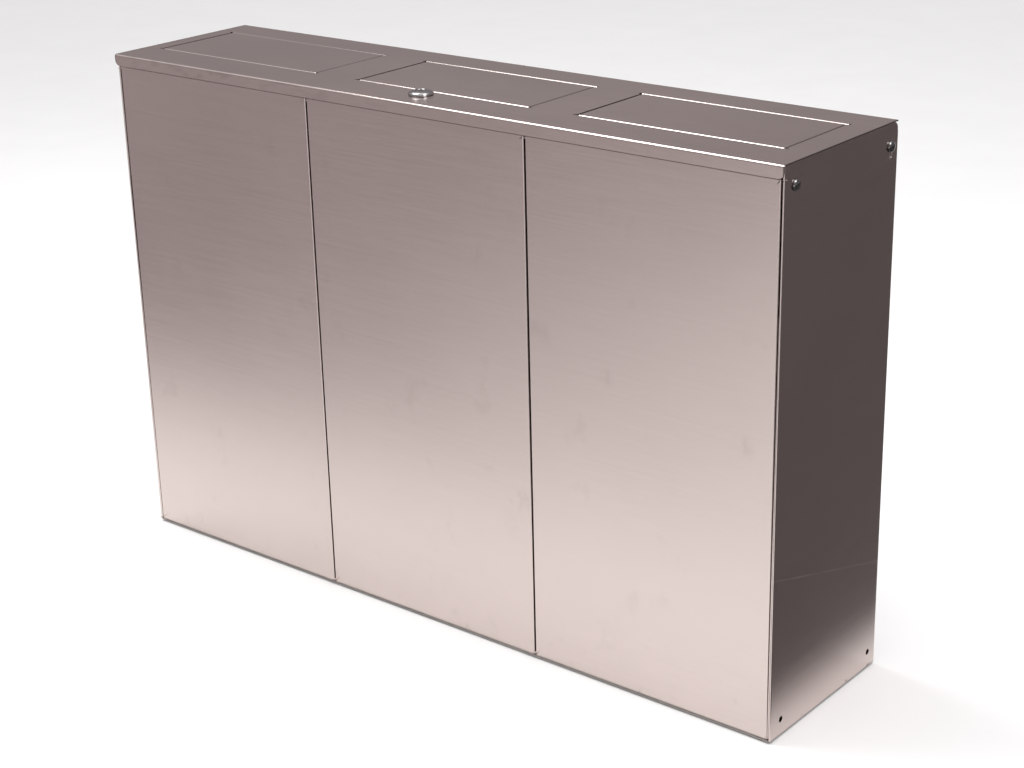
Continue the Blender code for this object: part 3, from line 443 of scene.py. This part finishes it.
def bulge(bm, low, high, axes, outward, rise, reach):
    """Bows a sheet outwards by rise in its middle. It stays as it was along its edges.

    axes are the two axes of the sheet. Only points within reach of its outer face move.
    """
    face = max(vert.co.dot(outward) for vert in bm.verts)
    for vert in bm.verts:
        if face - vert.co.dot(outward) > reach:
            continue
        share = 1.0
        for axis in axes:
            along = (vert.co[axis] - low[axis]) / (high[axis] - low[axis])
            share *= 4 * along * (1 - along)
        vert.co += outward * rise * share


def refined(name, arris=ARRIS, bow=None):
    """A finer copy of a CAD node, with rounded arrises, smooth bends and a slight bow."""
    bm = bmesh.new()
    bm.from_mesh(NODES[name].data)
    bmesh.ops.remove_doubles(bm, verts=bm.verts, dist=WELD_TOLERANCE)
    bmesh.ops.dissolve_limit(bm, angle_limit=COPLANAR, verts=bm.verts, edges=bm.edges)
    sharp = [edge for edge in bm.edges if len(edge.link_faces) == 2
             and edge.calc_face_angle() > CUT_ANGLE]
    bmesh.ops.bevel(bm, geom=sharp, offset=arris, segments=2, profile=0.5, affect="EDGES",
                    clamp_overlap=False)
    if bow:
        low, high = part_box(name)
        for axis, count in zip(bow["axes"], bow["cuts"]):
            cut_grid(bm, low, high, axis, count)
        bulge(bm, low, high, bow["axes"], Vector(bow["outward"]), bow["rise"], bow["reach"])
    mesh = bpy.data.meshes.new(name + "_fine")
    bm.to_mesh(mesh)
    bm.free()
    piece = add_piece(name + "_fine", mesh, name, stands_for=(name,))
    shade(piece)
    return piece


DOOR_BOW = {"axes": (0, 2), "cuts": (8, 12), "outward": (0, -1, 0), "rise": 0.0006, "reach": 0.0013}
SIDE_BOW = {"axes": (1, 2), "cuts": (6, 12), "rise": 0.0004, "reach": 0.0013}


def refine_sheets():
    turned_pieces = ("side_bolt", "lock_bezel", "lock_plug", "flap_spring")
    for name in NODES:
        if name.startswith(turned_pieces):
            continue
        arris = ARRIS
        if name == "lid":
            arris = CRISP_ARRIS
        if name in FLAPS:
            arris = SOFT_ARRIS
        bow = None
        if name.startswith("door_") and "pin" not in name:
            bow = DOOR_BOW
        if name.startswith("side_panel"):
            side = 1 if name.endswith("right") else -1
            bow = {**SIDE_BOW, "outward": (side, 0, 0)}
        refined(name, arris, bow)


def lathe(profile, centre, axis, steps=64):
    """A mesh turned about an axis through centre. The profile holds (radius, height) pairs."""
    bm = bmesh.new()
    points = [bm.verts.new((radius, 0.0, height)) for radius, height in profile]
    lines = [bm.edges.new(pair) for pair in zip(points, points[1:])]
    bmesh.ops.spin(bm, geom=points + lines, cent=(0, 0, 0), axis=(0, 0, 1), dvec=(0, 0, 0),
                   angle=math.tau, steps=steps, use_merge=True)
    bmesh.ops.remove_doubles(bm, verts=bm.verts, dist=WELD_TOLERANCE)
    bmesh.ops.recalc_face_normals(bm, faces=bm.faces)
    turn = Vector((0, 0, 1)).rotation_difference(Vector(axis)).to_matrix().to_4x4()
    bmesh.ops.transform(bm, matrix=Matrix.Translation(centre) @ turn, verts=bm.verts)
    mesh = bpy.data.meshes.new("turned")
    bm.to_mesh(mesh)
    bm.free()
    return mesh


def middle_of(name):
    low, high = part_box(name)
    return (low + high) / 2


def dome(radius, foot, rise, steps, start=0.0):
    """Half of a domed outline, from the top out to a rim at height foot."""
    outline = []
    for step in range(steps + 1):
        angle = math.pi / 2 * step / steps
        outline.append((start + (radius - start) * math.sin(angle), foot + rise * math.cos(angle)))
    return outline


def build_bolts():
    """Domed bolt heads with a thin rounded rim, and the shank behind."""
    for side_name, side in (("left", -1), ("right", 1)):
        for end in ("front", "rear"):
            name = f"side_bolt_{end}_{side_name}"
            low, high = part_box(name)
            seat = SIDE + 0.0003
            tip = max(abs(low.x), abs(high.x)) - seat
            inner = min(abs(low.x), abs(high.x)) - seat
            radius = (high.z - low.z) / 2
            shank = 0.0028
            rim = 0.0006
            profile = dome(radius, rim, tip - rim, 12)
            profile += [(radius, rim * 0.5), (radius - 0.0002, 0.0), (shank, 0.0), (shank, inner),
                        (0.0, inner)]
            centre = (side * seat, (low.y + high.y) / 2, (low.z + high.z) / 2)
            piece = add_piece(name + "_fine", lathe(profile, centre, (side, 0, 0)), name,
                              stands_for=(name,))
            shade(piece)


def build_lock():
    """The lock's domed bezel with a stepped rim, and its plug with a keyway and a small collar."""
    low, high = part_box("lock_bezel")
    plug_low, plug_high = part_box("lock_plug")
    centre = Vector(((low.x + high.x) / 2, (low.y + high.y) / 2, 0.0))
    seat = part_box("lid")[1].z + 0.0003
    radius = (high.x - low.x) / 2
    plug_radius = (plug_high.x - plug_low.x) / 2
    bore = plug_radius + 0.0003
    barrel = 0.009
    top = high.z
    rim = 0.0009
    profile = [(bore, low.z), (bore, top - 0.0006), (bore + 0.0004, top - 0.0001)]
    profile += [(bore + 0.0009, top)]
    profile += dome(radius, seat + rim, top - seat - rim, 14, start=bore + 0.0012)
    profile += [(radius, seat + 0.0003), (radius - 0.0003, seat), (barrel, seat),
                (barrel, low.z + 0.0004), (barrel - 0.0004, low.z), (bore, low.z)]
    bezel = add_piece("lock_bezel_fine", lathe(profile, centre, (0, 0, 1)), "lock_bezel",
                      stands_for=("lock_bezel",))
    shade(bezel)
    refined("lock_plug", arris=0.00012)


def build_springs():
    """Round-wire torsion springs: a coil round the rod, a leg under the flap and a short end."""
    wire = 0.0006
    coil_radius = 0.0042
    turns = 4
    pitch = 0.0019
    points_per_turn = 28
    stub = 0.0025
    for bay in BAYS:
        name = "flap_spring_" + bay
        low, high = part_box(name)
        axle = middle_of("flap_rod_" + bay)
        start = low.x + stub
        coil = []
        for step in range(turns * points_per_turn + 1):
            along = step / points_per_turn
            angle = math.pi / 2 - math.tau * along
            coil.append(Vector((start + pitch * along, axle.y + coil_radius * math.cos(angle),
                                axle.z + coil_radius * math.sin(angle))))
        first, last = coil[0], coil[-1]
        leg_end = Vector((last.x, low.y + wire, high.z - wire))
        points = [first - Vector((stub, 0, 0))] + coil
        points += [last.lerp(leg_end, share) for share in (0.25, 0.6, 1.0)]
        curve = bpy.data.curves.new(name + "_fine", "CURVE")
        curve.dimensions = "3D"
        curve.bevel_depth = wire
        curve.bevel_resolution = 4
        curve.use_fill_caps = True
        spline = curve.splines.new("POLY")
        spline.points.add(len(points) - 1)
        for point, place in zip(spline.points, points):
            point.co = (*place, 1.0)
        spline.use_smooth = True
        add_piece(name + "_fine", curve, name, stands_for=(name,))


# ---------------------------------------------------------------- small fixings
def spot_weld(name, place, outward, node):
    """The shallow ring that a spot weld's electrode leaves in a sheet."""
    profile = [(0.0, 0.00004), (0.0017, 0.00004), (0.0021, 0.00010), (0.0025, 0.00008),
               (0.0029, 0.00001), (0.0029, -0.0001), (0.0, -0.0001)]
    shade(add_piece(name, lathe(profile, place, outward, 32), node))


def build_back_welds():
    """Spot welds that join the back panel to the side panels' rear flanges."""
    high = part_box("side_panel_right")[1]
    count = 8
    lowest, highest = 0.035, 0.545
    inset = 0.0085
    for side_name, side in (("left", -1), ("right", 1)):
        node = "side_panel_" + side_name
        for step in range(count):
            z = lowest + (highest - lowest) * step / (count - 1)
            place = (side * (high.x - inset), high.y, z)
            spot_weld(f"back_weld_{side_name}_{step + 1}", place, (0, 1, 0), node)


def build_catch_poles():
    """Steel pole strips in each magnetic catch's face, and the two screws that hold it."""
    pole_depth, pole_height = 0.0016, 0.0022
    pole_inset = 0.0045
    pole_centre = 0.00068
    end_margin = 0.005
    screw_inset = 0.009
    screw_radius, screw_rim, screw_rise = 0.0026, 0.0003, 0.0011
    for bay in BAYS:
        node = "magnetic_catch_" + bay
        low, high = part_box(node)
        for number, z in enumerate((low.z + pole_inset, high.z - pole_inset)):
            bm = bmesh.new()
            bmesh.ops.create_cube(bm, size=1.0)
            length = high.x - low.x - 2 * end_margin
            size = Matrix.Diagonal((length, pole_depth, pole_height, 1.0))
            place = Matrix.Translation(((low.x + high.x) / 2, low.y + pole_centre, z))
            bmesh.ops.transform(bm, matrix=place @ size, verts=bm.verts)
            bmesh.ops.bevel(bm, geom=bm.edges[:], offset=0.0003, segments=2, profile=0.5,
                            affect="EDGES")
            mesh = bpy.data.meshes.new("pole")
            bm.to_mesh(mesh)
            bm.free()
            piece = add_piece(f"catch_pole_{bay}_{number + 1}", mesh, node, MATERIALS["zinc_steel"])
            shade(piece)
        for number, x in enumerate((low.x + screw_inset, high.x - screw_inset)):
            profile = dome(screw_radius, screw_rim, screw_rise, 8) + [(screw_radius, 0.0), (0.0, 0.0)]
            mesh = lathe(profile, (x, (low.y + high.y) / 2, low.z), (0, 0, -1), 32)
            piece = add_piece(f"catch_screw_{bay}_{number + 1}", mesh, node, MATERIALS["zinc_steel"])
            shade(piece)


def build_hem_beads():
    """Fuller front hems low on both sides, which close up on the doors without touching them.

    The photo shows the right one. The left one is its mirror image.
    """
    depth = 0.0009
    reach = 0.0011
    overlap = 0.0002
    full, bare = 0.10, 0.45
    steps = 24
    for side_name, side in (("left", -1), ("right", 1)):
        node = "side_panel_" + side_name
        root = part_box("door_right")[1].x + DOOR_SIDE_GAP + overlap
        bm = bmesh.new()
        rings = []
        for step in range(steps + 1):
            z = SIDE_FOOT + 0.004 + (bare - SIDE_FOOT - 0.004) * step / steps
            share = min(max((bare - z) / (bare - full), 0.0), 1.0)
            width = overlap * 1.5 + reach * share * share * (3 - 2 * share)
            outline = ((root, FRONT + 0.0001), (root - width * 0.7, FRONT + 0.0001),
                       (root - width * 0.95, FRONT + 0.0003), (root - width, FRONT + depth * 0.6),
                       (root - width * 0.9, FRONT + depth), (root, FRONT + depth))
            rings.append([bm.verts.new((side * x, y, z)) for x, y in outline])
        for lower, upper in zip(rings, rings[1:]):
            for i in range(len(lower)):
                j = (i + 1) % len(lower)
                bm.faces.new((lower[i], lower[j], upper[j], upper[i]))
        bm.faces.new(rings[0])
        bm.faces.new(rings[-1])
        bmesh.ops.recalc_face_normals(bm, faces=bm.faces)
        mesh = bpy.data.meshes.new("hem_bead")
        bm.to_mesh(mesh)
        bm.free()
        shade(add_piece("hem_bead_" + side_name, mesh, node))


def build_bracket_beads():
    """Short weld beads that hold each flap bracket's foot under the lid."""
    for bay in BAYS:
        for number in (1, 2):
            node = f"flap_bracket_{bay}_{number}"
            low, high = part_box(node)
            outer = high.x if number == 2 else low.x
            side = 1 if number == 2 else -1
            curve = bpy.data.curves.new("bead", "CURVE")
            curve.dimensions = "3D"
            curve.bevel_depth = 0.0007
            curve.bevel_resolution = 3
            curve.use_fill_caps = True
            spline = curve.splines.new("POLY")
            ripples = 33
            spline.points.add(ripples - 1)
            length = (high.y - low.y) * 0.7
            for index, point in enumerate(spline.points):
                along = index / (ripples - 1)
                wobble = 0.00012 * math.sin(along * 40.0)
                y = (low.y + high.y) / 2 + (along - 0.5) * length
                point.co = (outer + side * wobble, y, high.z - 0.0004, 1.0)
                ripple = 0.55 + 0.45 * abs(math.sin(along * 30.0))
                point.radius = ripple * (1.0 - abs(2 * along - 1) ** 6)
            spline.use_smooth = True
            add_piece(f"bracket_bead_{bay}_{number}", curve, node)


# ---------------------------------------------------------------- stage
FLOOR_HALF = 30.0
CARD_LIFTS = {"front": 0.0012, "side": 0.0018}


def build_floor():
    bpy.ops.mesh.primitive_plane_add(size=2 * FLOOR_HALF, location=(0.0, 0.0, 0.0))
    floor = bpy.context.object
    floor.name = "stage_floor"
    g = Graph("pale_floor")
    speckle = g.noise((7.0, 7.0, 7.0), detail=4.0)
    base = g.mix(g.remap(speckle, 0.3, 0.7, 0.0, 1.0), grey(0.90), grey(0.92))
    floor.data.materials.append(g.finish({"Base Color": base, "Roughness": 0.9, "Specular IOR Level": 0.0}))


def reflection_card(side, low, high, fade, value):
    """An even card with soft edges, just above the floor, that only reflections see."""
    centre = ((low[0] + high[0]) / 2, (low[1] + high[1]) / 2, CARD_LIFTS[side])
    bpy.ops.mesh.primitive_plane_add(size=1.0, location=centre)
    card = bpy.context.object
    card.name = "stage_card_" + side
    card.scale = (high[0] - low[0], high[1] - low[1], 1.0)
    g = Graph(card.name)
    x, y, _ = g.parts(g.add("NewGeometry").outputs["Position"])
    glow = g.add("Emission", {"Color": grey(value, DUSK_TINT), "Strength": 1.0})
    cover = 1.0
    for place, start, end, soft in ((x, low[0], high[0], fade[0]), (y, low[1], high[1], fade[1])):
        cover = g.math("MULTIPLY", cover, g.ease(place, start, start + soft[0], 0.0, 1.0))
        cover = g.math("MULTIPLY", cover, g.ease(place, end - soft[1], end, 1.0, 0.0))
    clear = g.add("BsdfTransparent")
    share = g.add("MixShader", {0: cover, 1: clear.outputs[0], 2: glow.outputs[0]})
    g.tree.links.new(share.outputs[0], g.output.inputs["Surface"])
    g.material.cycles.emission_sampling = "NONE"
    card.data.materials.append(g.material)
    card.visible_camera = False
    card.visible_diffuse = False
    card.visible_shadow = False
    card.visible_transmission = False


DUSK_TINT = (1.0, 0.89, 0.91)
FRONT_CARD_VALUE = 0.42
SIDE_CARD_VALUE = 0.12

# Brightness of the dome at rising heights, with height 0 at the horizon and 1 overhead.
DOME_FRONT = ((0.0, 0.29), (0.30, 0.33), (0.62, 0.80), (0.86, 1.0), (0.94, 2.7), (0.965, 0.75))
DOME_BACK = ((0.0, 0.27), (0.38, 0.31), (0.74, 0.36), (0.86, 0.7), (0.94, 2.7), (0.965, 0.75))


def build_world():
    """A soft dome with a bright ring high up, and darker behind the station."""
    world = bpy.data.worlds.new("studio_dome")
    bpy.context.scene.world = world
    world.use_nodes = True
    nodes, links = world.node_tree.nodes, world.node_tree.links
    direction = nodes.new("ShaderNodeTexCoord")
    split = nodes.new("ShaderNodeSeparateXYZ")
    links.new(direction.outputs["Generated"], split.inputs[0])
    turn = nodes.new("ShaderNodeMapRange")
    turn.interpolation_type = "SMOOTHSTEP"
    turn.inputs["From Min"].default_value = 0.0
    turn.inputs["From Max"].default_value = 0.5
    links.new(split.outputs["Y"], turn.inputs["Value"])
    blend = nodes.new("ShaderNodeMix")
    blend.data_type = "RGBA"
    links.new(turn.outputs[0], blend.inputs[0])
    for stops, socket in ((DOME_FRONT, 6), (DOME_BACK, 7)):
        ramp = nodes.new("ShaderNodeValToRGB")
        while len(ramp.color_ramp.elements) < len(stops):
            ramp.color_ramp.elements.new(0.5)
        for element, (place, value) in zip(ramp.color_ramp.elements, stops):
            element.position = place
            element.color = grey(value, DUSK_TINT if value < 0.5 else (1.0, 1.0, 1.0))
        links.new(split.outputs["Z"], ramp.inputs[0])
        links.new(ramp.outputs[0], blend.inputs[socket])
    links.new(blend.outputs[2], nodes["Background"].inputs["Color"])
    nodes["Background"].inputs["Strength"].default_value = 1.0


def area_light(name, place, target, size, power):
    light = bpy.data.lights.new(name, "AREA")
    light.shape = "RECTANGLE"
    light.size, light.size_y = size
    light.energy = power
    item = bpy.data.objects.new(name, light)
    bpy.context.scene.collection.objects.link(item)
    item.location = place
    item.rotation_mode = "QUATERNION"
    item.rotation_quaternion = (Vector(target) - Vector(place)).to_track_quat("-Z", "Y")


CAMERA_ROLL = -1.43


def build_camera():
    """The photo's viewing angle: from the front right, looking down at about 21 degrees."""
    data = bpy.data.cameras.new("view")
    data.sensor_width = 36.0
    data.lens = 69.94
    camera = bpy.data.objects.new("view", data)
    bpy.context.scene.collection.objects.link(camera)
    forward = Vector((-0.59347, 0.72080, -0.35811)).normalized()
    roll = Matrix.Rotation(math.radians(CAMERA_ROLL), 3, "Z").to_quaternion()
    turn = forward.to_track_quat("-Z", "Y") @ roll
    camera.rotation_mode = "QUATERNION"
    camera.rotation_quaternion = turn
    camera.location = (1.3511, -1.5865, 1.0510)
    bpy.context.scene.camera = camera


# ---------------------------------------------------------------- assembly
MATERIALS = make_materials()
refine_sheets()
build_bolts()
build_lock()
build_springs()
build_back_welds()
build_catch_poles()
build_bracket_beads()
build_hem_beads()

build_floor()
build_world()
reflection_card("front", (-14.0, -16.0), (0.9, FRONT), ((3.0, 2.4), (3.0, 0.55)), FRONT_CARD_VALUE)
reflection_card("side", (SIDE, -1.7), (14.0, 16.0), ((0.07, 3.0), (0.7, 3.0)), SIDE_CARD_VALUE)
area_light("softbox_left", (-0.95, -0.25, 2.35), (0.0, 0.0, 0.3), (1.6, 0.85), 30.0)
area_light("softbox_right", (1.9, -0.3, 2.3), (0.2, 0.0, 0.4), (1.0, 1.0), 26.0)
build_camera()
bpy.context.scene.view_settings.view_transform = "Standard"
